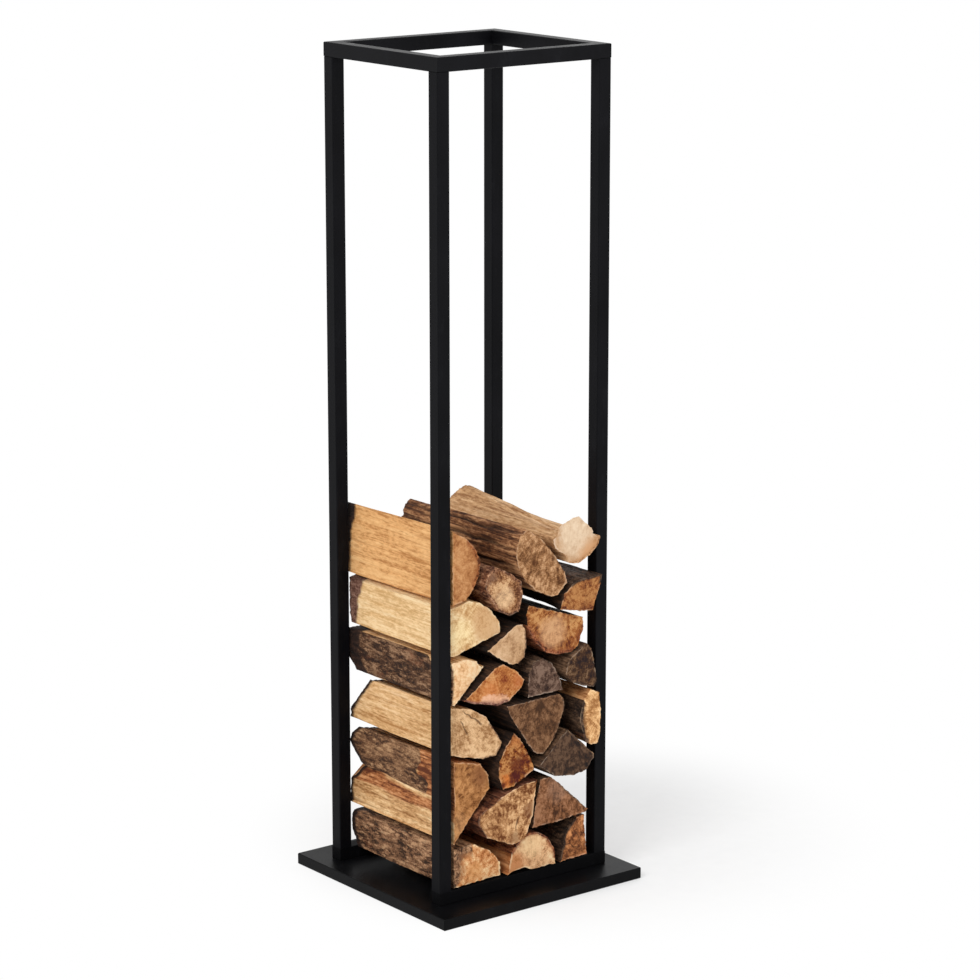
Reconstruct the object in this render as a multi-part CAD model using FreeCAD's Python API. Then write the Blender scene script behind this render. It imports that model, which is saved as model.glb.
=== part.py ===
# Firewood log rack: a square-tube tower on a thick base plate, loaded with split billets.
# Row frame in millimetres: origin at the centre of the plate's underside, +Z up,
# -Y the open side the billet ends face, -X the side their long faces are seen from.
import math
import os

import FreeCAD
import Part

os.makedirs("parts", exist_ok=True)

# ---- driving dimensions, mm ----
RACK_HEIGHT = 1180.0        # underside of the plate to the top of the ring
FRAME_WIDTH = 294.0         # across the uprights, left to right
FRAME_DEPTH = 256.0         # across the uprights, front to back
TUBE_SIDE = 20.0            # square tube, outside
TUBE_WALL = 1.6
TUBE_RADIUS = 1.6           # outside corner radius of the tube
PLATE_OVERHANG = 28.0       # plate beyond the uprights, left and right; the plate is square
PLATE_THICK = 16.0
PLATE_CHAMFER = 1.0
BAR_HEIGHT = 18.0           # flat bars that carry the uprights and the pile
BAR_CHAMFER = 0.8
PLUG_HEIGHT = 20.0          # threaded plug in the lower end of each upright
PLUG_CLEARANCE = 0.1        # per side, inside the tube
SCREW_RADIUS = 3.0
SCREW_REACH = 14.0          # thread length inside the plug
SCREW_HOLE_CLEARANCE = 0.3
THREAD_CLEARANCE = 0.02
HEAD_RADIUS = 6.0           # countersunk head, 90 degree cone
HEAD_LIP = 0.6              # straight rim below the cone
HEAD_RECESS = 0.4           # head stands this far inside the plate's underside
SOCKET_FLATS = 4.0
SOCKET_DEPTH = 2.5
SOCKET_SIDES = 6
CORNER_REACH = 6.0          # longest rounding tangent on a billet's arris
CORNER_SHARE = 0.42         # share of an outline edge that one rounding may use
CORNER_FACETS = 4           # flats that ease one arris
CUT_SPARE = 30.0            # extra stock beyond each sawn end before it is cut

# ---- derived ----
HALF_W = FRAME_WIDTH / 2
PLATE_SIDE = FRAME_WIDTH + 2 * PLATE_OVERHANG
BAY_WIDTH = FRAME_WIDTH - 2 * TUBE_SIDE   # clear between left and right uprights
HALF_D = FRAME_DEPTH / 2
POST_X = HALF_W - TUBE_SIDE / 2
POST_Y = HALF_D - TUBE_SIDE / 2
BAR_TOP = PLATE_THICK + BAR_HEIGHT
RING_UNDER = RACK_HEIGHT - TUBE_SIDE
CORNERS = {"fl": (-1, -1), "fr": (1, -1), "bl": (-1, 1), "br": (1, 1)}

# ---- the billets, bottom row first ----
# name: (overhang of the sawn end past the front posts and length, as shares of the frame's depth,
#        (front, rear) saw-cut skew in degrees, size of the rear end as a share of the front,
#        outline corners (across, above the bars) as shares of the clear width between the posts)
BILLETS = {
    "log_base_left": (-0.016, 0.938, (3, 2), 0.980, (
        (-0.4839, 0.0020), (-0.1374, 0.0020), (-0.1413, 0.0874), (-0.2161, 0.1744),
        (-0.3500, 0.2413), (-0.4839, 0.2256))),
    "log_base_mid": (0.008, 0.977, (-2, 3), 0.950, (
        (-0.1240, 0.0020), (0.2185, 0.0020), (0.2106, 0.0980), (0.1594, 0.1768), (0.0965, 0.2201),
        (0.0335, 0.2280), (-0.0374, 0.2004), (-0.0925, 0.1295))),
    "log_base_right": (0.008, 0.961, (4, -3), 0.940, (
        (0.2382, 0.0020), (0.4547, 0.0020), (0.4311, 0.2516), (0.3681, 0.2516), (0.2776, 0.1689))),
    "log_row2_left": (-0.016, 0.938, (5, -4), 0.975, (
        (-0.4843, 0.2449), (-0.2126, 0.5193), (-0.2165, 0.5984), (-0.2835, 0.6811),
        (-0.3898, 0.7087), (-0.4843, 0.7323))),
    "log_row2_mid": (0.039, 0.984, (-4, 2), 0.960, (
        (-0.3398, 0.3453), (-0.2846, 0.2591), (-0.1154, 0.1843), (-0.0209, 0.2039), (0.0264, 0.3374),
        (0.0579, 0.5417), (-0.0287, 0.5339), (-0.1783, 0.4866), (-0.3358, 0.4004))),
    "log_row2_right": (0.020, 0.969, (2, 4), 0.960, (
        (0.0323, 0.2449), (0.2213, 0.2449), (0.4260, 0.2567), (0.4535, 0.2764), (0.2213, 0.4886),
        (0.1740, 0.5280), (0.0913, 0.5280), (0.0638, 0.4256))),
    "log_row3_mid": (0.031, 0.953, (-3, -5), 0.930, (
        (-0.2000, 0.5925), (-0.1685, 0.5063), (-0.0937, 0.5142), (0.0520, 0.5890), (0.0283, 0.6555),
        (-0.0465, 0.7890), (-0.0937, 0.8323), (-0.1528, 0.7579), (-0.1961, 0.6791))),
    "log_row3_right": (0.047, 0.984, (4, 3), 0.950, (
        (0.0417, 0.6122), (0.1677, 0.5260), (0.3252, 0.4984), (0.4157, 0.5142), (0.4709, 0.5732),
        (0.4709, 0.6043), (0.2701, 0.7850), (0.2228, 0.7614))),
    "log_row4_left": (-0.016, 0.945, (-6, 4), 0.970, (
        (-0.4972, 0.7520), (-0.4146, 0.7272), (-0.2768, 0.6957), (-0.1902, 0.7035),
        (-0.1469, 0.7705), (-0.1980, 0.8610), (-0.2531, 0.9437), (-0.3476, 0.9992),
        (-0.4972, 1.0307))),
    "log_row4_mid": (0.039, 0.992, (3, -2), 0.970, (
        (-0.1673, 0.9976), (-0.1516, 0.9429), (-0.0098, 0.7386), (0.0453, 0.6760), (0.1004, 0.6642),
        (0.1870, 0.7386), (0.2421, 0.8484), (0.2657, 0.9193), (0.2500, 0.9665), (0.2185, 0.9976))),
    "log_row4_right": (0.062, 0.977, (-4, 4), 0.965, (
        (0.3374, 0.8098), (0.3768, 0.6886), (0.4240, 0.6610), (0.4673, 0.6650), (0.4870, 0.7157),
        (0.4909, 0.8650), (0.4791, 0.9630), (0.4161, 0.9941), (0.3610, 0.9197))),
    "log_row5_left": (-0.016, 0.938, (6, -3), 0.980, (
        (-0.4969, 1.0417), (-0.4693, 1.0276), (-0.2449, 1.2130), (-0.2961, 1.2642),
        (-0.3866, 1.2878), (-0.4969, 1.2839))),
    "log_row5_mid_left": (0.023, 0.969, (-3, 5), 0.940, (
        (-0.4287, 1.0583), (-0.3500, 1.0228), (-0.2043, 0.9917), (-0.1256, 1.0031),
        (-0.0390, 1.0661), (-0.0154, 1.1134), (-0.0705, 1.1764), (-0.1650, 1.2315),
        (-0.2280, 1.2118))),
    "log_row5_mid_right": (0.031, 0.938, (2, -4), 0.950, (
        (-0.0083, 1.0008), (0.2555, 1.0008), (0.2358, 1.0795), (0.1728, 1.1776), (0.1098, 1.2169),
        (0.0311, 1.2091), (-0.0043, 1.1500))),
    "log_row5_right": (0.047, 0.984, (5, 2), 0.970, (
        (0.2362, 1.0972), (0.2992, 1.0346), (0.3819, 0.9992), (0.4567, 0.9835), (0.4882, 1.0150),
        (0.4724, 1.0972), (0.4449, 1.2150), (0.4016, 1.2543), (0.2598, 1.1839))),
    "log_row6_left": (-0.016, 0.941, (-5, 6), 0.975, (
        (-0.4957, 1.3012), (-0.4555, 1.2961), (-0.2350, 1.3657), (-0.1563, 1.3894),
        (-0.1602, 1.4524), (-0.2193, 1.5354), (-0.2902, 1.5866), (-0.3610, 1.6063),
        (-0.4949, 1.5748))),
    "log_row6_mid": (0.023, 0.945, (3, 3), 0.930, (
        (-0.2894, 1.3197), (-0.2028, 1.2567), (-0.1083, 1.2016), (-0.0610, 1.2016),
        (-0.0098, 1.2291), (0.0059, 1.3079), (-0.0020, 1.3866), (-0.0256, 1.4295), (-0.0768, 1.4335))),
    "log_row6_right": (0.031, 1.000, (-2, -4), 0.965, (
        (-0.0106, 1.4701), (0.0012, 1.3835), (0.0524, 1.3012), (0.1311, 1.2303), (0.2098, 1.2067),
        (0.3043, 1.2067), (0.3516, 1.2382), (0.3870, 1.3283), (0.3870, 1.4031), (0.0051, 1.5327))),
    "log_row7_left": (-0.016, 0.953, (4, -6), 0.950, (
        (-0.4870, 1.5858), (-0.3846, 1.6016), (-0.3295, 1.6528), (-0.2823, 1.7394),
        (-0.2744, 1.8024), (-0.3138, 1.8850), (-0.3807, 1.9524), (-0.4870, 2.0114))),
    "log_row7_mid_left": (0.039, 0.961, (-4, 3), 0.955, (
        (-0.2976, 1.6894), (-0.2819, 1.6303), (-0.2110, 1.5244), (-0.1323, 1.4850),
        (-0.0693, 1.5008), (-0.0417, 1.6031), (-0.0535, 1.6776), (-0.1165, 1.7287),
        (-0.2071, 1.7756), (-0.2661, 1.7602))),
    "log_row7_mid_right": (0.055, 1.055, (5, 4), 0.930, (
        (-0.1209, 1.8622), (-0.1091, 1.7720), (-0.0579, 1.6780), (0.0287, 1.5953), (0.1469, 1.5445),
        (0.2020, 1.5445), (0.2728, 1.6071), (0.2610, 1.6740), (0.1547, 1.8189), (0.0602, 1.9091),
        (-0.0343, 1.9681), (-0.0894, 1.9445))),
    "log_row7_right": (0.055, 0.977, (-3, -3), 0.950, (
        (0.2035, 1.4661), (0.3531, 1.4311), (0.4358, 1.4272), (0.4949, 1.5957), (0.4988, 1.6311),
        (0.3531, 1.6272), (0.2902, 1.6075), (0.2350, 1.5567))),
    "log_top": (0.055, 0.977, (2, 5), 0.880, (
        (0.1350, 1.8756), (0.1744, 1.7929), (0.2571, 1.7185), (0.3358, 1.7067), (0.4146, 1.7421),
        (0.4815, 1.7929), (0.4972, 1.8480), (0.3358, 1.9815), (0.2886, 1.9815), (0.1626, 1.9382))),
}


def vec(x, y, z):
    return FreeCAD.Vector(x, y, z)


def save(node, *solids):
    """Write one sub-part, a single solid or a set of identical ones."""
    shape = solids[0] if len(solids) == 1 else Part.makeCompound(list(solids))
    shape.exportStep(f"parts/{node}.step")


def box(x0, x1, y0, y1, z0, z1):
    return Part.makeBox(x1 - x0, y1 - y0, z1 - z0, vec(x0, y0, z0))


def tube(length):
    """Square tube standing on the origin, its long arrises rounded."""
    h = TUBE_SIDE / 2
    bore = h - TUBE_WALL
    outer = box(-h, h, -h, h, 0, length)
    outer = outer.makeFillet(TUBE_RADIUS, edges_along(outer, vec(0, 0, 1)))
    return outer.cut(box(-bore, bore, -bore, bore, 0, length))


def edges_along(shape, axis):
    """Straight edges that run along a unit axis."""
    along = math.cos(math.radians(1))
    return [e for e in shape.Edges if abs(e.tangentAt(e.FirstParameter).dot(axis)) > along]


def placed(shape, x, y, z, turn_axis=None, degrees=0.0):
    """A copy of the shape, turned about the origin and then moved."""
    out = shape.copy()
    if turn_axis is not None:
        out.rotate(vec(0, 0, 0), turn_axis, degrees)
    out.translate(vec(x, y, z))
    return out


def at_posts(shape, z):
    return [placed(shape, sx * POST_X, sy * POST_Y, z) for sx, sy in CORNERS.values()]


# ---- base plate, drilled and countersunk from below under each post ----
def base_plate():
    h = PLATE_SIDE / 2
    plate = box(-h, h, -h, h, 0, PLATE_THICK)
    plate = plate.makeChamfer(PLATE_CHAMFER, plate.Edges)
    for hole in at_posts(screw_hole(), 0):
        plate = plate.cut(hole)
    return plate


def screw_hole():
    """Clearance hole with its countersink, through the plate and the bar above."""
    gap = SCREW_HOLE_CLEARANCE
    shaft = Part.makeCylinder(SCREW_RADIUS + gap, BAR_TOP)
    rim = Part.makeCylinder(HEAD_RADIUS + gap, HEAD_RECESS + HEAD_LIP)
    depth = HEAD_RADIUS - SCREW_RADIUS
    cone = Part.makeCone(HEAD_RADIUS + gap, SCREW_RADIUS + gap, depth, vec(0, 0, HEAD_RECESS + HEAD_LIP))
    return shaft.fuse([rim, cone]).removeSplitter()


# ---- flat bars across the plate, under the front and the back posts ----
def bottom_bar(side):
    half = TUBE_SIDE / 2
    y = side * POST_Y
    bar = box(-HALF_W, HALF_W, y - half, y + half, PLATE_THICK, BAR_TOP)
    bar = bar.makeChamfer(BAR_CHAMFER, edges_along(bar, vec(1, 0, 0)))
    for hole in at_posts(screw_hole(), 0):
        bar = bar.cut(hole)
    return bar


# ---- posts, and the ring of mitred rails on top of them ----
def upright(sx, sy):
    return placed(tube(RING_UNDER - BAR_TOP), sx * POST_X, sy * POST_Y, BAR_TOP)


def mitre_block(span):
    """Trapezium prism that keeps a rail between its two mitre planes."""
    h = span / 2
    inner = h - TUBE_SIDE
    pts = [vec(-h, 0, 0), vec(h, 0, 0), vec(inner, TUBE_SIDE, 0), vec(-inner, TUBE_SIDE, 0), vec(-h, 0, 0)]
    return Part.Face(Part.makePolygon(pts)).extrude(vec(0, 0, TUBE_SIDE))


def rail(span):
    """Rail along X, outer face on Y = 0, the rack's middle towards +Y."""
    bar = placed(tube(span), 0, 0, 0, vec(0, 1, 0), 90)
    half = TUBE_SIDE / 2
    bar.translate(vec(-span / 2, half, half))
    return bar.common(mitre_block(span))


def ring_rail(span, reach, degrees):
    bar = placed(rail(span), 0, -reach, RING_UNDER)
    bar.rotate(vec(0, 0, 0), vec(0, 0, 1), degrees)
    return bar


# ---- fixings: threaded plugs and countersunk screws ----
def tube_plug():
    h = TUBE_SIDE / 2 - TUBE_WALL - PLUG_CLEARANCE
    plug = box(-h, h, -h, h, 0, PLUG_HEIGHT)
    return plug.cut(Part.makeCylinder(SCREW_RADIUS + THREAD_CLEARANCE, PLUG_HEIGHT))


def base_screw():
    lip = Part.makeCylinder(HEAD_RADIUS, HEAD_LIP)
    depth = HEAD_RADIUS - SCREW_RADIUS
    cone = Part.makeCone(HEAD_RADIUS, SCREW_RADIUS, depth, vec(0, 0, HEAD_LIP))
    shaft = Part.makeCylinder(SCREW_RADIUS, BAR_TOP + SCREW_REACH - HEAD_RECESS)
    return shaft.fuse([lip, cone]).removeSplitter().cut(socket())


def socket():
    r = SOCKET_FLATS / 2 / math.cos(math.pi / SOCKET_SIDES)
    ring = [2 * math.pi * k / SOCKET_SIDES for k in range(SOCKET_SIDES + 1)]
    wire = Part.makePolygon([vec(r * math.cos(a), r * math.sin(a), 0) for a in ring])
    return Part.Face(wire).extrude(vec(0, 0, SOCKET_DEPTH))


# ---- billets: an outline with eased arrises, tapering lengthwise, sawn slightly askew ----
def eased_corner(before, corner, after):
    """Points on the arc that eases one corner, from one outline edge to the next."""
    to_a, to_b = before - corner, after - corner
    reach = min(CORNER_REACH, CORNER_SHARE * to_a.Length, CORNER_SHARE * to_b.Length)
    to_a.normalize()
    to_b.normalize()
    half = to_a.getAngle(to_b) / 2
    radius = reach * math.tan(half)
    inward = (to_a + to_b).normalize()
    centre = corner + inward * (radius / math.sin(half))
    swing = math.pi / 2 - half
    across = (to_b - to_a).normalize()
    angles = [swing * (2 * k / CORNER_FACETS - 1) for k in range(CORNER_FACETS + 1)]
    return [centre + (across * math.sin(a) - inward * math.cos(a)) * radius for a in angles]


def billet_ring(outline, y, shrink):
    """The eased outline at one station, drawn in towards the corner it rests on."""
    rest = min(outline, key=lambda corner: corner[1])
    pts = [station_point(corner, rest, y, shrink) for corner in outline]
    n = len(pts)
    return [p for k in range(n) for p in eased_corner(pts[k - 1], pts[k], pts[(k + 1) % n])]


def station_point(corner, rest, y, shrink):
    x = rest[0] + (corner[0] - rest[0]) * shrink
    z = rest[1] + (corner[1] - rest[1]) * shrink
    return vec(x * BAY_WIDTH, y, BAR_TOP + z * BAY_WIDTH)


def flat(points):
    return Part.Face(Part.makePolygon(points + points[:1]))


def blank_between(near, far):
    """Closed solid with one flat along each outline edge."""
    n = len(near)
    sides = [flat([near[k - 1], near[k], far[k], far[k - 1]]) for k in range(n)]
    return Part.Solid(Part.Shell([flat(near), flat(far)] + sides))


def saw_block(y, side, skew):
    """Waste beyond a sawn end, its cut plane turned by the skew about Z."""
    size = FRAME_WIDTH * 2
    block = Part.makeBox(size, size, RACK_HEIGHT, vec(-size / 2, 0 if side > 0 else -size, 0))
    return placed(block, 0, y, 0, vec(0, 0, 1), skew)


def billet(overhang, length, skews, taper, outline):
    front = -HALF_D - overhang * FRAME_DEPTH
    rear = front + length * FRAME_DEPTH
    per_mm = (1 - taper) / (rear - front)
    first, last = front - CUT_SPARE, rear + CUT_SPARE
    blank = blank_between(*[billet_ring(outline, y, 1 - (y - front) * per_mm) for y in (first, last)])
    centre = sum(x for x, z in outline) / len(outline) * BAY_WIDTH
    for y, side, skew in ((front, -1, skews[0]), (rear, 1, skews[1])):
        waste = saw_block(y, side, skew)
        waste.translate(vec(centre, 0, 0))
        blank = blank.cut(waste)
    return blank


save("base_plate", base_plate())
save("bottom_bar_front", bottom_bar(-1))
save("bottom_bar_back", bottom_bar(1))
for tag, (sx, sy) in CORNERS.items():
    save(f"upright_{tag}", upright(sx, sy))
save("rail_front", ring_rail(FRAME_WIDTH, HALF_D, 0))
save("rail_right", ring_rail(FRAME_DEPTH, HALF_W, 90))
save("rail_back", ring_rail(FRAME_WIDTH, HALF_D, 180))
save("rail_left", ring_rail(FRAME_DEPTH, HALF_W, 270))
save("tube_plugs", *at_posts(tube_plug(), BAR_TOP))
save("base_screws", *at_posts(base_screw(), HEAD_RECESS))
for node, shape in BILLETS.items():
    save(node, billet(*shape))
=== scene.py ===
import math

import bpy
import numpy as np
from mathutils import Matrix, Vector, noise


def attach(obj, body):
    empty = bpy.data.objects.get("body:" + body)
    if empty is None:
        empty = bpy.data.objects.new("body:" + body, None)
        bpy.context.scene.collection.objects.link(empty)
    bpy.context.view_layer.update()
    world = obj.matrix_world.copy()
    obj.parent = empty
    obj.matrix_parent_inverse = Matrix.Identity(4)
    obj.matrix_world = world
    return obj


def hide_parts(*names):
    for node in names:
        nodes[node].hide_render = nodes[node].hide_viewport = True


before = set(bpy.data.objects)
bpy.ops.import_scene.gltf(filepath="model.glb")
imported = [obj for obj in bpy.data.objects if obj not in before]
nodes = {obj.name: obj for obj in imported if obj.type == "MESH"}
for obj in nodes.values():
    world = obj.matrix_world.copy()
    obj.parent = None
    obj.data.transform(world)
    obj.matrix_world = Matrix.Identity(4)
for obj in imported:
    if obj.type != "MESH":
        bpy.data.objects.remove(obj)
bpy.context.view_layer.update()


# ---- base plate ----
# Thick square steel plate that stands flat on the floor and keeps the tall tower from tipping.
# Flame cut, its arrises broken with a small chamfer, then powder coated satin black.
# The four posts are screwed to it from below, through countersunk holes.
def tint(red, green, blue):
    """A colour as a paint chart gives it, 0 to 255, made linear by the usual screen curve."""
    chart = [c / 255 for c in (red, green, blue)]
    return tuple(c / 12.92 if c <= 0.04045 else ((c + 0.055) / 1.055) ** 2.4 for c in chart) + (1.0,)


class Level:
    """A value that varies over a surface; arithmetic on it adds Math nodes."""

    def __init__(self, finish, socket):
        self.finish, self.socket = finish, socket

    def math(self, operation, *values):
        return self.finish.node("ShaderNodeMath", {"operation": operation}, dict(enumerate(values)))

    def __add__(self, other):
        return self.math("ADD", self, other)

    __radd__ = __add__

    def __sub__(self, other):
        return self.math("SUBTRACT", self, other)

    def __rsub__(self, other):
        return self.math("SUBTRACT", other, self)

    def __mul__(self, other):
        return self.math("MULTIPLY", self, other)

    __rmul__ = __mul__

    def __truediv__(self, other):
        return self.math("DIVIDE", self, other)

    def __rtruediv__(self, other):
        return self.math("DIVIDE", other, self)

    def __abs__(self):
        return self.math("ABSOLUTE", self)

    def sine(self):
        return self.math("SINE", self)

    def larger(self, other):
        return self.math("MAXIMUM", self, other)

    def rise(self, low, high):
        """0 below low, 1 above high, and a smooth step between them."""
        settings = {"interpolation_type": "SMOOTHSTEP"}
        return self.finish.node("ShaderNodeMapRange", settings, {0: self, 1: low, 2: high})


class Finish:
    """A material, and the few kinds of node that the rack's finishes are made of."""

    def __init__(self, name, owner=None):
        self.material = owner or bpy.data.materials.new(name)
        self.material.use_nodes = True
        self.tree = self.material.node_tree
        self.tree.nodes.clear()
        self.place = self.node("ShaderNodeTexCoord", output="Object")

    def node(self, kind, settings=None, values=None, output=0):
        """One node: its settings are set first, then its sockets take values or links."""
        made = self.tree.nodes.new(kind)
        for key, value in (settings or {}).items():
            if key == "stops":
                self.set_stops(made.color_ramp, value)
            else:
                setattr(made, key, value)
        for key, value in (values or {}).items():
            if isinstance(value, Level):
                self.tree.links.new(value.socket, made.inputs[key])
            else:
                made.inputs[key].default_value = value
        return Level(self, made.outputs[output]) if len(made.outputs) else made

    def set_stops(self, ramp, stops):
        while len(ramp.elements) < len(stops):
            ramp.elements.new(1.0)
        for element, (position, colour) in zip(ramp.elements, stops):
            element.position, element.color = position, colour

    def vector(self, operation, *values):
        """A vector operation with a vector result."""
        return self.node("ShaderNodeVectorMath", {"operation": operation}, dict(enumerate(values)))

    def span(self, operation, *values):
        """A vector operation whose result is one number, such as a distance."""
        settings = {"operation": operation}
        return self.node("ShaderNodeVectorMath", settings, dict(enumerate(values)), output="Value")

    def along(self, stretch, shift=0.0, place=None):
        """The place on the piece, scaled along each axis and moved to another stretch of pattern."""
        offset = (shift, shift * 1.7, shift * 0.6)
        return self.vector("MULTIPLY_ADD", place or self.place, stretch, offset)

    def cloud(self, scale, shift=0.0, detail=3.0, rough=0.55, place=None, output=0):
        """Soft uneven pattern, about 0.5 on average; scale is how often it turns in a metre."""
        values = {"Vector": self.along(scale, shift, place), "Scale": 1.0, "Detail": detail,
                  "Roughness": rough}
        return self.node("ShaderNodeTexNoise", {}, values, output)

    def blend(self, amount, first, second):
        return self.node("ShaderNodeMix", {"data_type": "RGBA"}, {0: amount, 6: first, 7: second}, output=2)

    def tones(self, level, *stops):
        return self.node("ShaderNodeValToRGB", {"stops": stops}, {0: level})

    def relief(self, height, depth, strength=1.0):
        values = {"Height": height, "Distance": depth, "Strength": strength}
        return self.node("ShaderNodeBump", {}, values)

    def surface(self, colour, roughness, normal, **constants):
        """Closes the material; a constant's name is its socket's, with _ for each space."""
        values = {"Base Color": colour, "Roughness": roughness, "Normal": normal}
        values.update({key.replace("_", " "): value for key, value in constants.items()})
        shader = self.node("ShaderNodeBsdfPrincipled", {}, values)
        self.node("ShaderNodeOutputMaterial", {}, {0: shader})
        return self.material


PEEL_DEPTH = 0.00012    # height of the orange peel in the powder coat, m
DUST_GREY = tint(70, 72, 76)


def satin_black(name, dark, light, roughness, gloss, speck):
    """Powder coat: tiny orange peel, dust-fine specks and patches handled to a duller sheen."""
    coat = Finish(name)
    peel = coat.cloud((900, 900, 900), 0.0, 2.0)
    patch = coat.cloud((14, 14, 9), 3.1, 4.0, 0.6)
    dust = coat.cloud((2400, 2400, 2400), 1.3, 1.0).rise(0.60, 0.80)
    rubbed = coat.cloud((60, 60, 22), 7.7, 5.0, 0.65).rise(0.55, 0.75)
    shade = coat.tones(patch + 0.35 * (peel - 0.5), (0.30, dark), (0.70, light))
    shade = coat.blend(speck * dust + 0.05 * rubbed, shade, DUST_GREY)
    dull = roughness + 0.16 * (patch - 0.5) + 0.10 * rubbed
    return coat.surface(shade, dull, coat.relief(peel, PEEL_DEPTH, 0.5), Specular_IOR_Level=gloss)


def refinish(node, material):
    """A CAD piece whose shape is right keeps its mesh and takes this finish."""
    for place in nodes[node].material_slots:
        place.material = material


plate_coat = satin_black("plate_coat", tint(8, 8, 9), tint(14, 14, 16),
                         roughness=0.36, gloss=0.06, speck=0.03)
refinish("base_plate", plate_coat)


# ---- bottom bars ----
# Two flat steel bars across the plate, under the front and the back posts.
# They lift the posts and the pile off the plate. Their coat is darker and duller than the plate's, painted
# shade for the shadow under the pile.
bar_shadow_coat = satin_black("bar_shadow_coat", tint(6, 6, 7), tint(11, 11, 13),
                       roughness=0.62, gloss=0.04, speck=0.02)
for end in ("front", "back"):
    refinish("bottom_bar_" + end, bar_shadow_coat)


# ---- uprights ----
# Four posts of 20 mm square steel tube that stand on the bars, each held down by one screw from below.
# Drawn tube with small rounded arrises, powder coated in one go with the ring.
tube_coat = satin_black("tube_coat", tint(10, 10, 12), tint(17, 17, 20),
                        roughness=0.42, gloss=0.05, speck=0.03)
for corner in ("fl", "fr", "bl", "br"):
    refinish("upright_" + corner, tube_coat)


# ---- top ring ----
# Four lengths of the same tube, mitred into a ring and welded flush on top of the posts.
# The weld is ground smooth, and the ring's coat is a little glossier than the posts'.
ring_coat = satin_black("ring_coat", tint(11, 11, 13), tint(18, 18, 21),
                        roughness=0.38, gloss=0.06, speck=0.03)
for side in ("front", "right", "back", "left"):
    refinish("rail_" + side, ring_coat)


# ---- threaded plugs and base screws ----
# Square steel plugs pressed into the post ends, and countersunk socket screws up through the plate.
# Both are zinc plated: the plugs hide in the tubes and the screw heads face the floor.
TURNING_MARKS = 0.00006    # depth of the marks that the lathe leaves, m
DULL_ZINC, BRIGHT_ZINC, TARNISH = tint(150, 152, 156), tint(196, 198, 200), tint(128, 122, 108)


def zinc(name):
    plated = Finish(name)
    spangle = plated.node("ShaderNodeTexVoronoi", {}, {"Vector": plated.along((420, 420, 420)), "Scale": 1.0})
    turned = plated.cloud((90, 90, 2600), 2.0, 2.0)
    tarnish = plated.cloud((130, 130, 130), 5.0, 4.0).rise(0.45, 0.75)
    shade = plated.tones(0.5 * spangle + 0.5 * turned, (0.2, DULL_ZINC), (0.8, BRIGHT_ZINC))
    shade = plated.blend(0.45 * tarnish, shade, TARNISH)
    dull = 0.28 + 0.25 * tarnish + 0.1 * turned
    return plated.surface(shade, dull, plated.relief(turned, TURNING_MARKS), Metallic=1.0)


zinc_plate = zinc("zinc_plate")
for fixing in ("tube_plugs", "base_screws"):
    refinish(fixing, zinc_plate)


# ---- bottom row of billets ----
# Firewood split with an axe from short round logs, sawn to about 25 cm, and stacked bark and all.
# Each billet is loose: its sawn end faces the front, and it pulls straight out.
MM = 0.001
AROUND = 160            # points round a billet
STATIONS = 74           # and along it
CAP_STEPS = (0.985, 0.955, 0.91, 0.85, 0.77, 0.68, 0.58, 0.47, 0.36, 0.25, 0.14, 0.05)
WELL_INSIDE = 0.05      # the distance from its rim that an end's middle point is given, m
ARC_POINTS = 5          # points on each eased arris of a blank
CORNER_OUT = 3.2        # how far a split arris may stand out past the blank's easing, mm
STAYS_EASED = 12.0      # a corner that lies further out than this stays eased, mm
TINY, SLACK = 1e-12, 1e-6       # a ray along an edge or through a corner isn't lost
BARK_ENDS = 5.0         # degrees over which the bark gives way to bare wood
# the dusk tag marks painted shade on a billet's sides, near its rear end and inside narrow cracks
RAGGED, PAINTED_SHADE_RAGGED = 9.0, 5.0  # how far the limits of bare wood and of dusk stray, mm
EDGE_WIDTH = 4.0        # and how soft they are, mm
FIBRES, SLIVERS = 0.9, 1.2      # depth of torn fibres and of slivers on the split faces, mm
FURROWS, LUMPS = 1.7, 0.7       # and of furrows and swellings in the bark, mm
DEEPEST = 6.0           # the most that all these take off a side, mm
SQUARE_CUT = 3.0        # down to here wood is taken off square to the face, mm
TOWARDS_MIDDLE = 6.0    # and over this much more it turns towards the billet's middle, mm
SWAY = 5.0              # how far a hollow strays from a straight line, mm
# a narrow hollow is a crack and gets painted shade inside it, full at DARK_AT
NARROW = 9.0            # a hollow of less than this half width is a crack, dark inside, mm
DARK_AT = 5.0           # the depth at which a crack is fully dark, mm
SAW_MARKS = 0.22        # height of the saw's marks on an end, mm
FADE, FINER = 0.9, 2.1  # how fast the finer octaves of a noise fade, and how much finer each is
SHARP_ARRIS = math.radians(48)


def polygon_middle(ring):
    """The centre of the area inside an outline."""
    x, z = ring[:, 0], ring[:, 1]
    next_x, next_z = np.roll(x, -1), np.roll(z, -1)
    cross = x * next_z - next_x * z
    return np.array([((x + next_x) * cross).sum(), ((z + next_z) * cross).sum()]) / (3 * cross.sum())


def crisp(ring):
    """The blank's outline with its eased arrises drawn back out towards sharp corners."""
    if len(ring) % ARC_POINTS:
        return ring
    runs = np.linalg.norm(np.roll(ring, -1, 0) - ring, axis=1)
    uneven = [np.roll(runs, -s).reshape(-1, ARC_POINTS)[:, 1:].std(1).sum() for s in range(ARC_POINTS)]
    arcs = np.roll(ring, -int(np.argmin(uneven)) - 1, 0).reshape(-1, ARC_POINTS, 2)
    out = []
    for k, arc in enumerate(arcs):
        before, after = arc[0] - arcs[k - 1][-1], arcs[(k + 1) % len(arcs)][0] - arc[-1]
        chord, top = arc[-1] - arc[0], arc[ARC_POINTS // 2]
        bend = before[0] * after[1] - before[1] * after[0]
        corner = arc[0] + before * (chord[0] * after[1] - chord[1] * after[0]) / bend
        proud = np.linalg.norm(corner - top)
        share = min(1.0, CORNER_OUT * MM / proud) if proud < STAYS_EASED * MM else 0.0
        out += [arc[0], top + (corner - top) * share, arc[-1]]
    return np.array(out)


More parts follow.
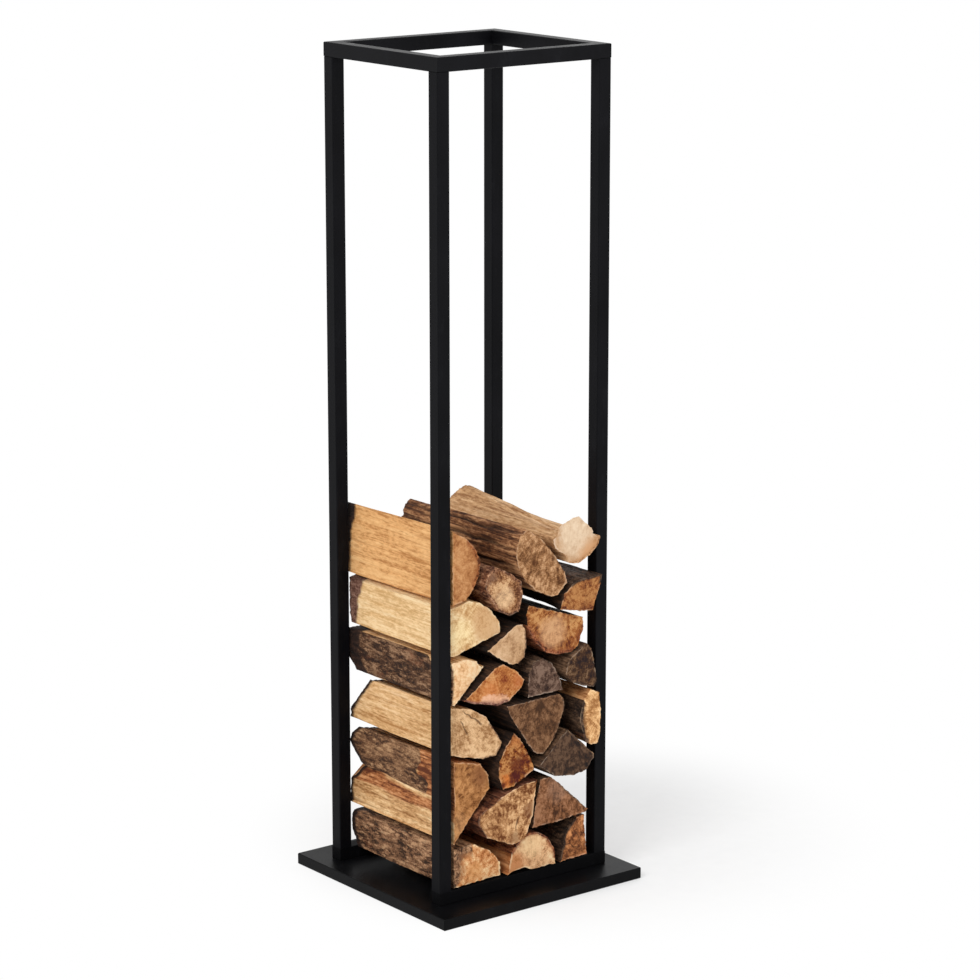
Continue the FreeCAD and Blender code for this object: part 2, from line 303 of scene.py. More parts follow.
def end_outline(points):
    """One sawn end: its outline corners in turn, its middle, and the skewed plane of the cut."""
    flat = points[:, [0, 2]]
    turn = np.argsort(np.arctan2(*(flat - flat.mean(0)).T[::-1]))
    ring = crisp(flat[turn])
    slope, level = np.polyfit(points[:, 0], points[:, 1], 1)
    return ring, polygon_middle(ring), slope, level


def reach(ring, middle, angles):
    """Points on the outline, seen from its middle at these angles."""
    corner, next_corner = ring - middle, np.roll(ring, -1, 0) - middle
    edge = next_corner - corner
    out = []
    for angle in angles:
        ray = np.array([math.cos(angle), math.sin(angle)])
        slant = ray[0] * -edge[:, 1] + ray[1] * edge[:, 0]
        slant = np.where(np.abs(slant) < TINY, TINY, slant)
        far = (corner[:, 0] * -edge[:, 1] + corner[:, 1] * edge[:, 0]) / slant
        share = (ray[0] * corner[:, 1] - ray[1] * corner[:, 0]) / slant
        hits = far[(share > -SLACK) & (share < 1 + SLACK) & (far > 0)]
        out.append(middle + ray * hits.max())
    return np.array(out)


def even_ring(ring):
    """The outline as evenly spaced points, and its length."""
    closed = np.vstack([ring, ring[:1]])
    run = np.concatenate([[0], np.cumsum(np.linalg.norm(np.diff(closed, axis=0), axis=1))])
    steps = np.linspace(0, run[-1], AROUND, endpoint=False)
    return np.stack([np.interp(steps, run, closed[:, k]) for k in (0, 1)], 1), run[-1]


def wrap(degrees, arcs):
    """1 inside the arcs (from, to), going round anticlockwise, easing to 0 over a few degrees."""
    inside = np.zeros(len(degrees))
    for first, last in arcs:
        offset = (degrees - first) % 360
        length = last - first
        share = np.clip(np.minimum(offset, length - offset) / BARK_ENDS + 0.5, 0, 1)
        share[offset > length + BARK_ENDS] = 0
        if length >= 360:
            share[:] = 1
        inside = np.maximum(inside, share)
    return inside


def boxed(points, boxes, ragged):
    """1 inside boxes (y from, y to, z from, z to), in millimetres, with torn edges."""
    inside = np.zeros(len(points))
    y, z = points[:, 1], points[:, 2]
    for y0, y1, z0, z1 in boxes:
        edge = np.minimum.reduce([y - y0, y1 - y, z - z0, z1 - z]) + RAGGED * ragged
        inside = np.maximum(inside, np.clip(edge / EDGE_WIDTH + 0.5, 0, 1))
    return inside


def rough(points, stretch, octaves, shift):
    """Fractal noise from about -1 to 1 at points in millimetres, drawn out along the grain."""
    scaled = points / np.array(stretch) + shift
    return np.array([noise.fractal(Vector(p), FADE, FINER, octaves) for p in scaled])


def craggy(points, stretch, shift):
    """Ridged noise from 0 in the furrows to about 1 on the ridges."""
    scaled = points / np.array(stretch) + shift
    raw = np.array([noise.ridged_multi_fractal(Vector(p), FADE, FINER, 4, 1.0, 2.0) for p in scaled])
    return np.clip(raw / 2.4, 0, 1)


def run_out(profile, z):
    """A length in millimetres that changes with height, read from (height, length) pairs."""
    return np.interp(z, *zip(*profile)) if profile else np.zeros(np.shape(z))


class Blank:
    """The long sides of a plain billet, laid out in stations from its front end to its rear end.

    front is the outline of its front end, girth the way round it, and angles where its points lie
    round the middle. share says how far along each station is, and stop where each side ends.
    """

    def __init__(self, node, rear_cut):
        spots = np.unique(np.round([tuple(v.co) for v in nodes[node].data.vertices], 6), axis=0)
        halfway = (spots[:, 1].min() + spots[:, 1].max()) / 2
        ring, near_middle, slope, level = end_outline(spots[spots[:, 1] < halfway])
        far_ring, far_middle, far_slope, far_level = end_outline(spots[spots[:, 1] > halfway])
        self.front, self.girth = even_ring(ring)
        self.angles = np.arctan2(*(self.front - near_middle).T[::-1])
        rear = reach(far_ring, far_middle, self.angles)
        self.share = t = np.linspace(0, 1, STATIONS)[:, None]
        x, z = ((1 - t) * self.front[:, k] + t * rear[:, k] for k in (0, 1))
        start = level + slope * self.front[:, 0]
        self.stop = far_level + far_slope * rear[:, 0] - run_out(rear_cut, rear[:, 1] / MM) * MM
        self.middle = (1 - t[:, :, None]) * near_middle + t[:, :, None] * far_middle
        self.sides = np.stack([x, (1 - t) * start + t * self.stop, z], 2)

    def hollow(self, x, z, half, run):
        """A long hollow beside a place on the outline: its depth at each station, and its section."""
        step = self.girth / AROUND / MM
        nearest = np.argmin(np.hypot(self.front[:, 0] / MM - x, self.front[:, 1] / MM - z))
        sway = SWAY * rough(self.share * (0, 250, 0), (1, 55, 1), 3, x + z)[:, None]
        aside = np.arange(AROUND) * step - (nearest * step + sway)
        turn = self.girth / MM
        section = np.clip(1 - np.abs((aside + turn / 2) % turn - turn / 2) / half, 0, 1)
        section = section * section * (3 - 2 * section)
        return np.interp(self.share, *zip(*run)), section

    def carved(self, depth):
        """The sides after wood is taken off them, in millimetres at each point."""
        ahead, behind = np.roll(self.front, -1, 0), np.roll(self.front, 1, 0)
        outward = np.stack([(ahead - behind)[:, 1], -(ahead - behind)[:, 0]], 1)
        outward /= np.linalg.norm(outward, axis=1)[:, None]
        inward = self.middle - self.sides[:, :, [0, 2]]
        inward /= np.linalg.norm(inward, axis=2)[:, :, None]
        turned = np.clip((depth - SQUARE_CUT) / TOWARDS_MIDDLE, 0, 1)[:, :, None]
        push = (1 - turned) * -outward + turned * inward
        push /= np.linalg.norm(push, axis=2)[:, :, None]
        sides = self.sides.copy()
        sides[:, :, [0, 2]] += push * depth[:, :, None] * MM
        return sides


def sawn_rings(rim, way, number, torn):
    """The rings of one sawn end and their sizes, from the rim inwards, roughened by saw and axe."""
    core = rim.mean(0)
    for size in CAP_STEPS + (0.0,):
        ring = core + (rim - core) * size if size else core[None].copy()
        sawn = SAW_MARKS * rough(ring / MM, (5, 40, 5), 3, number + 40)
        broken = torn * (0.5 + rough(ring / MM, (17, 50, 13), 4, number + 60))
        ring[:, 1] += way * MM * np.clip(0.3 + sawn + broken, 0, 8)
        yield size, ring


def billet_mesh(node, bark, bare, warm, dusk, torn, hollows, rear_cut, wear):
    """The points of a split billet, and its tags: what the wood is like at each of them."""
    number = sorted(nodes).index(node)
    blank = Blank(node, rear_cut)
    points = blank.sides.reshape(-1, 3) / MM
    fibre = rough(points, (5, 64, 5), 4, number * 9.1)
    wave = rough(points, (30, 105, 30), 2, number * 5.3)
    sliver = craggy(points, (12, 120, 12), number * 6.1)
    furrow = craggy(points, (8, 34, 8), number * 3.7)
    lump = rough(points, (20, 44, 20), 3, number * 2.9)
    barked = np.tile(wrap(np.degrees(blank.angles), bark), STATIONS) * (1 - boxed(points, bare, lump))
    stained = boxed(points, warm, wave + 0.5 * fibre)
    # painted shade on the sides near the rear end, as far in as dusk reaches at each height
    painted_shade_mask = np.zeros(len(points))
    if dusk:
        to_rear = (np.tile(blank.stop, STATIONS) - points[:, 1] * MM) / MM
        reached = run_out(dusk, points[:, 2]) + PAINTED_SHADE_RAGGED * lump
        painted_shade_mask = np.clip((reached - to_rear) / EDGE_WIDTH + 0.5, 0, 1)

    split_depth = FIBRES * (1 - fibre) + wear * (0.7 - 0.8 * wave) + SLIVERS * (1 - sliver)
    bark_depth = 0.1 + FURROWS * (1 - furrow) + LUMPS * (1 - lump)
    depth = np.clip((1 - barked) * split_depth + barked * bark_depth, 0.0, DEEPEST)
    depth, fibre = depth.reshape(STATIONS, AROUND), fibre.reshape(STATIONS, AROUND)
    for x, z, half, run in hollows:
        deep, section = blank.hollow(x, z, half, run)
        depth += deep * section * (1 + 0.12 * fibre)
        # a narrow crack is darkened inside with painted shade
        if half < NARROW:
            painted_shade_mask = np.maximum(painted_shade_mask, (np.clip(deep / DARK_AT, 0, 1) * section).ravel())

    sides, ends = blank.carved(depth), []
    tags = {"bark": [barked], "inset": [np.zeros(len(points))], "warm": [stained], "dusk": [painted_shade_mask]}
    for station, way in ((0, 1), (STATIONS - 1, -1)):
        rim, rim_bark = sides[station].copy(), barked.reshape(STATIONS, AROUND)[station]
        from_core = np.linalg.norm(rim - rim.mean(0), axis=1)
        for size, ring in sawn_rings(rim, way, number, torn):
            ends.append(ring)
            tags["bark"].append(rim_bark if size else np.zeros(1))
            tags["inset"].append(from_core * (1 - size) if size else np.full(1, WELL_INSIDE))
            tags["warm"].append(np.zeros(len(ring)))
            tags["dusk"].append(np.zeros(len(ring)))
        chip = np.clip(0.4 + rough(rim / MM, (4, 30, 4), 3, number + 80) + 0.3 * torn, 0, 3)
        sides[station, :, 1] += way * MM * chip
    tags = {name: np.concatenate(values) for name, values in tags.items()}
    return np.vstack([sides.reshape(-1, 3)] + ends), tags


def join_rings(first, second, flip):
    """Quads between two rings of the same number of points."""
    k = np.arange(AROUND)
    n = (k + 1) % AROUND
    quads = np.stack([first + k, first + n, second + n, second + k], 1)
    return (quads[:, ::-1] if flip else quads).tolist()


def billet_faces():
    """The faces of every billet, sides first, then the front and the rear end."""
    sides = [q for s in range(STATIONS - 1) for q in join_rings(s * AROUND, (s + 1) * AROUND, False)]
    caps, base = [], AROUND * STATIONS
    for rim, flip in ((0, True), ((STATIONS - 1) * AROUND, False)):
        outer = rim
        for _ in CAP_STEPS:
            caps += join_rings(outer, base, flip)
            outer, base = base, base + AROUND
        fan = [[outer + k, outer + (k + 1) % AROUND, base] for k in range(AROUND)]
        caps += [f[::-1] for f in fan] if flip else fan
        base += 1
    return sides, caps


SIDE_FACES, CAP_FACES = billet_faces()


def split_billet(node, finish, bark=(), bare=(), warm=(), dusk=(), torn=0.0, hollows=(),
                 rear_cut=(), wear=0.7):
    """One billet in place of its plain blank, riding on its own body.

    bark      arcs (from, to) of the outline that are bark, in degrees round its middle
    bare      boxes (y from, y to, z from, z to), in mm, where that bark has come off
    warm      boxes where the split wood has its bared tones
    dusk      (height, length) pairs, in mm: how far in from the rear end the sides carry painted shade
    torn      how broken the sawn ends are, in mm
    hollows   (x, z, half width, ((share of the length, depth), ...)), in mm, along the side that
              passes x, z at the front; a depth below 0 is a swelling
    rear_cut  (height, length) pairs, in mm: how much shorter the rear end is
    wear      how uneven the split faces are, in mm
    """
    points, tags = billet_mesh(node, bark, bare, warm, dusk, torn, hollows, rear_cut, wear)
    mesh = bpy.data.meshes.new(node + "_wood")
    mesh.from_pydata(points.tolist(), [], SIDE_FACES + CAP_FACES)
    for name, values in tags.items():
        mesh.attributes.new(name, "FLOAT", "POINT").data.foreach_set("value", values.astype(np.float32))
    sawn = np.concatenate([np.zeros(len(SIDE_FACES)), np.ones(len(CAP_FACES))]).astype(np.float32)
    mesh.attributes.new("sawn", "FLOAT", "FACE").data.foreach_set("value", sawn)
    mesh.polygons.foreach_set("use_smooth", [True] * len(mesh.polygons))
    mesh.set_sharp_from_angle(angle=SHARP_ARRIS)
    mesh.update()
    mesh.materials.append(finish)
    billet = bpy.data.objects.new(node + "_split", mesh)
    bpy.context.scene.collection.objects.link(billet)
    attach(billet, node)
    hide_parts(node)


GRAIN_RELIEF = 0.0009   # height of the finest grain and grit, m
WOOD_GLOSS = 0.22
# the cream of chipped edges is partly a painted highlight
# the dark of drying checks is painted shade inside the cracks
CHIP_HIGHLIGHT, CRACK_SHADE = tint(232, 214, 194), tint(78, 48, 28)
LICHEN_GREY, FLAKE_RED = tint(172, 156, 128), tint(128, 76, 50)


class Firewood(Finish):
    """Wood with its grain along Y, in three skins: sawn across, split along the grain, and bark.

    Each pattern is moved by the billet's own shift, so that no two billets match.
    """

    def __init__(self, name, shift):
        super().__init__(name)
        self.shift = shift
        self.bark, self.inset, self.end, self.dusk, self.warm = (
            self.node("ShaderNodeAttribute", {"attribute_name": tag}, output="Fac")
            for tag in ("bark", "inset", "sawn", "dusk", "warm"))
        self.wander = self.grain((60, 10, 60))
        self.pores = self.grain((1000, 140, 1000), 0, 2.0, 0.6)
        self.flecks = self.grain((330, 50, 330), 2, 3.0, 0.6)
        self.chipped = self.grain((75, 20, 75), 12, 2.0).rise(0.42, 0.60)
        self.grit = self.grain((560, 300, 560), 0, 4.0, 0.7)
        self.plates = self.grain((130, 50, 130), 7, 4.0, 0.65)

    def grain(self, scale, step=0, detail=3.0, rough=0.55, output=0):
        """A pattern of the billet's own; a smaller middle scale draws it out along the grain."""
        return self.cloud(scale, self.shift + step, detail, rough, output=output)

    def shades(self, level, colours, spread):
        """Dark, middle and light, as the level swings by the spread either way of a half."""
        dark, middle, light = colours
        return self.tones(level, (0.5 - spread, dark), (0.5, middle), (0.5 + spread, light))

    def drying_check(self, from_heart, radius, degrees, start, stop):
        """One crack that runs out from the pith at an angle, between two distances in millimetres."""
        turn = math.radians(degrees)
        across = self.span("DOT_PRODUCT", from_heart, (-math.sin(turn), 0, math.cos(turn)))
        along = self.span("DOT_PRODUCT", from_heart, (math.cos(turn), 0, math.sin(turn)))
        off_line = abs(across + 0.012 * (self.wander - 0.5))
        opening = 1 - (off_line / (0.0005 + 0.022 * (along - start * MM))).rise(0.6, 1.3)
        begun, ended = along.rise(start * MM, start * MM + 0.004), radius.rise(stop * MM - 0.006, stop * MM)
        return opening * begun * (1 - ended)

    def sawn_end(self, heart, sawn, ring, mottle, cores, checks):
        """Colour and height across the grain: growth rings, rays, pores, stains and drying checks."""
        from_heart = self.vector("SUBTRACT", self.place, (heart[0] * MM, 0, heart[1] * MM))
        from_heart = self.along((1, 0, 1), 0.0, from_heart)
        radius = self.span("LENGTH", from_heart)
        heading = self.vector("NORMALIZE", from_heart)
        years = ((radius / MM + 9.0 * self.wander) * (2 * math.pi / ring)).sine()
        blotch = self.grain((38, 12, 38), 4, 4.0, 0.55)
        outward = self.vector("MULTIPLY_ADD", from_heart, (60, 60, 60),
                              self.along((13, 13, 13), self.shift, heading))
        rays = self.cloud((1, 1, 1), 0.0, 3.0, 0.6, place=outward)
        patches = self.grain((120, 25, 120), 6, 4.0, 0.6)
        pits = self.grain((300, 60, 300), 10, 2.0).rise(0.66, 0.74)
        level = 0.5 + 0.5 * (self.pores - 0.5) + mottle * (0.8 * (self.flecks - 0.5) + 1.5 * (blotch - 0.5))
        level = level + (0.3 + 0.7 * mottle) * (0.8 * (rays - 0.5) + 1.6 * (patches - 0.5)) - 0.05 * years
        colour = self.shades(level, sawn, 0.32)
        colour = self.blend(0.45 * pits, colour, sawn[0])
        for (x, z), near, far, amount, stain in cores:
            apart = self.span("DISTANCE", self.along((1, 0, 1)), (x * MM, 0, z * MM))
            apart = apart + 0.020 * (self.wander - 0.5) + 0.012 * (self.flecks - 0.5)
            share = amount * (0.7 + 0.9 * (level - 0.3)) * (1 - apart.rise(near * MM, far * MM))
            colour = self.blend(share, colour, stain)
        # a paler rim where the end's fibres are chipped, partly a painted highlight
        rim_highlight = (1 - (self.inset + 0.002 * (self.flecks - 0.5)).rise(0.0012, 0.0040)) * (1 - self.bark)
        colour = self.blend(0.5 * rim_highlight * self.chipped, colour, sawn[2])
        # drying checks are drawn dark: painted shade inside each crack
        crack = 0.0
        for degrees, start, stop in checks:
            crack = crack + self.drying_check(from_heart, radius, degrees, start, stop)
        if checks:
            colour = self.blend(0.7 * crack, colour, CRACK_SHADE)
        return colour, 0.5 * self.pores + 0.5 * self.flecks + 0.05 * years - 1.6 * crack

    def split_face(self, split, bared, streak, stain):
        """Colour and height along the grain: torn fibres, dark streaks and slivers."""
        fibres = self.grain((640, 22, 640), 0, 4.0, 0.65)
        bands = self.grain((150, 7, 150), 3, 4.0, 0.6)
        broad = self.grain((28, 9, 28), 5)
        tears = self.grain((300, 90, 300), 9, 4.0, 0.7)
        streaked = streak * (0.8 * (fibres - 0.5) + 1.2 * (bands - 0.5))
        face = 0.5 + streaked + (broad - 0.5) + 1.2 * (tears - 0.5)
        colour = self.shades(face, split, 0.30)
        chips = self.grain((70, 30, 70), 11, 4.0, 0.6).rise(0.58, 0.72)
        strokes = self.grain((210, 34, 210), 21, 3.0, 0.6).rise(0.60, 0.72)
        colour = self.blend(stain * chips.larger(1.6 * strokes), colour, split[0])
        lines = self.grain((170, 3.2, 170), 23, 2.0, 0.55).rise(0.57, 0.66)
        colour = self.blend(0.7 * lines * broad.rise(0.40, 0.60), colour, split[0])
        if bared:
            colour = self.blend(self.warm, colour, self.shades(face, bared, 0.25))
        return colour, fibres + 1.1 * bands + 0.8 * tears

    def rough_bark(self, rind, lichen):
        """Colour and height of the bark: plates between creases, ridges, grey growth, red flakes."""
        patch = self.grain((26, 13, 26), 13)
        swerve = self.grain((70, 34, 70), 19, 3.0, 0.65, output="Color")
        bent = self.vector("MULTIPLY_ADD", swerve, (2.2, 2.2, 2.2), self.along((125, 27, 125), self.shift))
        to_gap = self.node("ShaderNodeTexVoronoi", {"feature": "DISTANCE_TO_EDGE"},
                           {"Vector": bent, "Scale": 1.0})
        crease = 1 - (to_gap + 0.2 * (self.plates - 0.5)).rise(0.0, 0.22)
        crease = crease * self.grain((45, 30, 45), 8).rise(0.4, 0.6)
        ridges = self.grain((230, 42, 230), 16, 3.0, 0.6)
        skin = 0.54 + 1.1 * (self.grit - 0.5) + (self.plates - 0.5) + 0.6 * (patch - 0.5)
        # the creases are drawn darker: partly the bark's darker fissures, partly painted shade
        colour = self.shades(skin + 1.1 * (ridges - 0.5) - 0.32 * crease, rind, 0.30)
        growth = self.grain((190, 130, 190), 15, 4.0, 0.7).rise(0.60, 0.70)
        colour = self.blend(lichen * growth, colour, LICHEN_GREY)
        flaked = self.grain((52, 24, 52), 17, 4.0, 0.65).rise(0.58, 0.68)
        colour = self.blend(0.35 * flaked, colour, FLAKE_RED)
        return colour, 0.9 * self.grit + 1.5 * self.plates + ridges - 1.5 * crease


# bark and split faces, dark, middle and light
DARK_RIND = tint(32, 21, 15), tint(64, 45, 33), tint(112, 86, 66)
OLD_RIND = tint(54, 35, 24), tint(106, 78, 56), tint(156, 124, 94)
GREY_RIND = tint(60, 37, 23), tint(127, 90, 62), tint(185, 145, 106)
RED_RIND = tint(66, 30, 18), tint(132, 72, 42), tint(184, 118, 78)
PALE = tint(158, 108, 62), tint(222, 174, 120), tint(252, 218, 168)
ORANGE = tint(128, 74, 36), tint(186, 128, 80), tint(222, 170, 118)
TAWNY = tint(64, 34, 18), tint(112, 68, 38), tint(156, 104, 66)
# SHADE is painted shade: split faces of the billets whose sides show in the pile's gaps, darkened for the
# shadow there
SHADE = tint(17, 11, 8), tint(39, 25, 17), tint(76, 52, 36)
WEATHERED = tint(44, 29, 20), tint(84, 60, 42), tint(128, 98, 74)
# painted shade tones, for the rear ends and the insides of narrow cracks
PAINTED_SHADE_TONES = tint(20, 11, 8), tint(36, 22, 16), tint(64, 42, 32)


def firewood(name, heart, sawn, split, rind, shift, ring=2.4, rim=2.5, checks=(), stain=0.3,
             lichen=0.15, streak=1.0, mottle=1.0, bared=None, cores=(), back=PAINTED_SHADE_TONES):
    """The material of one billet. Each set of colours is dark, middle and light.

    heart     the pith that growth rings and checks run round, x and z in mm
    sawn, split, rind, bared, back    colours of the ends, the split faces, the bark, wood laid
          open by a tear, and the painted shade towards the rear and inside narrow cracks
    shift     which stretch of each pattern the billet has
    ring, rim    width of a growth ring, and of the bark that shows round an end, in mm
    checks    drying cracks in an end: (degrees, from, to), in mm from the heart
    cores     stains on an end: ((x, z), solid out to, gone at, amount, colour), in mm
    stain, streak    how much of a split face is dark chips, and how strong its streaks are
    lichen, mottle   how much grey growth the bark has, and how blotchy an end is
    """
    wood = Firewood(name, shift)
    end_colour, end_height = wood.sawn_end(heart, sawn, ring, mottle, cores, checks)
    face_colour, face_height = wood.split_face(split, bared, streak, stain)
    rind_colour, rind_height = wood.rough_bark(rind, lichen)

    # split wood gives way to bark round the billet, and to painted shade towards its rear and inside narrow
    # cracks
    bark_edge = (wood.bark + 0.5 * (wood.plates - 0.5)).rise(0.40, 0.60)
    side_colour = wood.blend(bark_edge, face_colour, rind_colour)
    painted_shade_colour = wood.shades(0.5 + 1.2 * (wood.grit - 0.5) + 1.2 * (wood.plates - 0.5), back, 0.25)
    side_colour = wood.blend(wood.dusk, side_colour, painted_shade_colour)

    # bark rims the sawn end, and its chipped edges are paler, partly a painted highlight
    ragged = wood.inset + 0.003 * (wood.flecks - 0.5) + 0.004 * (wood.wander - 0.5)
    outer_bark = wood.bark * (1 - ragged.rise(rim * 0.75 * MM, rim * 1.25 * MM))
    inner_bark = wood.bark * (1 - ragged.rise(rim * 1.2 * MM, rim * 2.4 * MM)) * 0.45
    end_colour = wood.blend(inner_bark, end_colour, rind[1])
    end_colour = wood.blend(outer_bark, end_colour, rind_colour)
    glint = tuple(0.55 * a + 0.45 * b for a, b in zip(sawn[2], CHIP_HIGHLIGHT))
    lit_edge = (1 - (wood.inset + 0.002 * (wood.flecks - 0.5)).rise(0.0006, 0.0020)) * wood.chipped
    end_colour = wood.blend(lit_edge * (0.45 - 0.3 * wood.bark), end_colour, glint)

    colour = wood.blend(wood.end, side_colour, end_colour)
    side_height = face_height + bark_edge * (rind_height - face_height)
    height = side_height + wood.end * (end_height - side_height)
    dull = 0.80 + 0.3 * (wood.pores - 0.5)
    return wood.surface(colour, dull, wood.relief(height, GRAIN_RELIEF, 0.8), Specular_IOR_Level=WOOD_GLOSS)


split_billet("log_base_left", firewood(
    "wood_base_left", (-88, 30), (tint(145, 76, 31), tint(220, 151, 94), tint(249, 217, 166)),
    ORANGE, (tint(52, 34, 22), tint(136, 96, 68), tint(204, 160, 120)),
    shift=1.0, rim=11.0, lichen=0.3, mottle=0.7,
    cores=(((-124, 90), 20, 32, 0.9, tint(84, 50, 36)), ((-84, 50), 6, 22, 0.6, tint(228, 164, 102)),)),
    bark=((98, 216),), torn=0.8, dusk=((34, 10), (95, 8)),
    rear_cut=((34, 16), (58, 0), (80, 0), (95, 10)))
split_billet("log_base_mid", firewood(
    "wood_base_mid", (14, 30), (tint(159, 106, 64), tint(228, 178, 131), tint(243, 213, 166)),
    (tint(140, 82, 44), tint(186, 118, 68), tint(216, 156, 104)), RED_RIND, shift=2.3, rim=2.5, mottle=0.6,
    cores=(((-18, 46), 12, 28, 0.85, tint(192, 120, 68)), ((12, 74), 10, 26, 0.6, tint(246, 208, 156)),
           ((52, 66), 4, 18, 0.6, tint(204, 136, 86)))),
    bark=((-20, 170),), hollows=((-8, 35, 26, ((0, 6), (1, 3))),))
split_billet("log_base_right", firewood(
    "wood_base_right", (112, 40), (tint(85, 44, 22), tint(167, 105, 61), tint(220, 150, 96)),
    TAWNY, DARK_RIND, shift=3.9, rim=3.0, mottle=0.85, checks=((118, 18, 40), (150, 14, 46))),
    bark=((85, 221),), torn=2.5)


# ---- second row ----
# A thick half round on the left, its bark still on above a broad split face,
# a five-sided heart piece in the middle and a weathered wedge on the right.
split_billet("log_row2_left", firewood(
    "wood_row2_left", (-130, 160), (tint(101, 55, 21), tint(167, 112, 63), tint(206, 148, 93)),
    PALE, GREY_RIND, shift=5.1, ring=1.6, rim=1.5, mottle=0.8,
    cores=(((-70, 192), 8, 30, 0.7, tint(128, 78, 46)), ((-112, 128), 6, 20, 0.4, tint(222, 166, 112))),
    bared=(tint(96, 48, 26), tint(176, 110, 64), tint(216, 156, 106))),
    bark=((96, 206),), bare=((-150, -62, 150, 190), (-150, -48, 186, 232)),
    warm=((-150, -44, 150, 232), (-150, 130, 134, 152)), dusk=((98, 5), (150, 8), (212, 8)),
    rear_cut=((98, 0), (134, 2), (156, 34), (190, 0), (202, 6), (220, 30)),
    hollows=((-123, 152, 14, ((0, 1), (0.5, 4), (1, 10))),))
split_billet("log_row2_mid", firewood(
    "wood_row2_mid", (-30, 60), (tint(104, 56, 23), tint(180, 130, 84), tint(227, 182, 133)),
    (tint(60, 30, 20), tint(98, 56, 38), tint(138, 92, 68)),
    (tint(54, 26, 15), tint(94, 52, 32), tint(138, 90, 62)),
    shift=6.4, rim=2.0, lichen=0.05, checks=((80, 40, 66),),
    cores=(((2, 128), 6, 16, 0.6, tint(112, 66, 42)), ((-24, 92), 4, 12, 0.5, tint(110, 70, 44)))),
    bark=((118, 212),), torn=1.2)
split_billet("log_row2_right", firewood(
    "wood_row2_right", (60, 190), (tint(66, 36, 16), tint(127, 81, 49), tint(167, 118, 84)),
    WEATHERED, OLD_RIND, shift=7.2, rim=2.0, cores=(((60, 148), 10, 30, 0.5, tint(160, 122, 98)),)),
    bark=((345, 440),), torn=2.0)


# ---- third row ----
# A narrow streaky heart piece, standing on its corner between its neighbours,
# and a dark weathered wedge on the right.
split_billet("log_row3_mid", firewood(
    "wood_row3_mid", (-60, 170), (tint(75, 21, 14), tint(134, 72, 24), tint(190, 132, 77)),
    SHADE, RED_RIND, shift=8.8, ring=3.6, mottle=1.3,
    cores=(((-16, 196), 6, 18, 0.75, tint(96, 40, 20)), ((-34, 178), 3, 14, 0.7, tint(206, 116, 50)),
           ((-20, 232), 4, 14, 0.5, tint(200, 128, 72)))),
    torn=3.0)
split_billet("log_row3_right", firewood(
    "wood_row3_right", (60, 240), (tint(21, 14, 14), tint(60, 39, 25), tint(99, 73, 54)),
    WEATHERED, OLD_RIND, shift=9.6, rim=1.6, lichen=0.4),
    bark=((346, 455),), torn=1.0)


# ---- fourth row ----
# A pale quarter on the left, its rear end split away at the top, a broad grey-brown
# half round in the middle, and a slim one with thick bark on the right.
split_billet("log_row4_left", firewood(
    "wood_row4_left", (-120, 300), (tint(151, 108, 67), tint(201, 158, 113), tint(227, 188, 143)),
    (tint(176, 124, 72), tint(222, 176, 122), tint(246, 208, 160)), GREY_RIND, shift=11.1, rim=1.4,
    checks=((-38, 22, 64), (-62, 30, 58))),
    bark=((290, 385),), dusk=((210, 7), (296, 7)),
    rear_cut=((215, 0), (240, 2), (292, 50), (300, 56)))
split_billet("log_row4_mid", firewood(
    "wood_row4_mid", (10, 300), (tint(63, 37, 17), tint(103, 68, 42), tint(141, 102, 71)),
    SHADE, GREY_RIND, shift=12.5, rim=2.4),
    bark=((279, 400),), torn=0.8)
split_billet("log_row4_right", firewood(
    "wood_row4_right", (130, 250), (tint(157, 105, 58), tint(216, 164, 109), tint(248, 206, 151)),
    ORANGE, DARK_RIND, shift=13.7, rim=5.5),
    bark=((115, 262),), torn=0.8, wear=0.2,
    hollows=((97, 207, 15, ((0, 0), (0.1, 5), (0.3, 8), (1, 8))),))


# ---- fifth row ----
# A pale split with its bark outwards on the left, an orange quarter with a pale sap rim,
# and two old grey pieces on the right.
split_billet("log_row5_left", firewood(
    "wood_row5_left", (-60, 320), (tint(203, 147, 95), tint(239, 193, 143), tint(248, 219, 177)),
    PALE, (tint(42, 24, 15), tint(92, 62, 41), tint(158, 122, 92)), shift=14.2, rim=3.0, mottle=0.7),
    bark=((128, 240),), dusk=((296, 30), (358, 28)),
    bare=((-150, -76, 350, 366),), rear_cut=((296, 26), (316, 2), (345, 0), (360, 4)),
    hollows=((-70, 350, 22, ((0, 3), (1, 2))),))
split_billet("log_row5_mid_left", firewood(
    "wood_row5_mid_left", (-60, 345), (tint(116, 43, 14), tint(177, 109, 54), tint(209, 153, 98)),
    SHADE, (tint(70, 38, 32), tint(128, 82, 68), tint(186, 144, 122)),
    shift=15.5, ring=4.4, rim=3.4, mottle=0.6,
    cores=(((-18, 316), 3, 15, 0.55, tint(172, 84, 38)), ((-62, 310), 6, 22, 0.45, tint(208, 122, 64)),
           ((-58, 270), 31, 37, 0.95, tint(228, 176, 140)))),
    bark=((190, 310),), torn=0.6)
split_billet("log_row5_mid_right", firewood(
    "wood_row5_mid_right", (30, 285), (tint(38, 21, 14), tint(85, 61, 48), tint(128, 102, 86)),
    SHADE, DARK_RIND, shift=16.9, rim=1.6),
    bark=((52, 155),), torn=0.6)
split_billet("log_row5_right", firewood(
    "wood_row5_right", (100, 350), (tint(30, 14, 14), tint(72, 45, 24), tint(126, 96, 69)),
    WEATHERED, DARK_RIND, shift=17.3, rim=2.0),
    bark=((230, 330),), torn=1.2, wear=0.2)


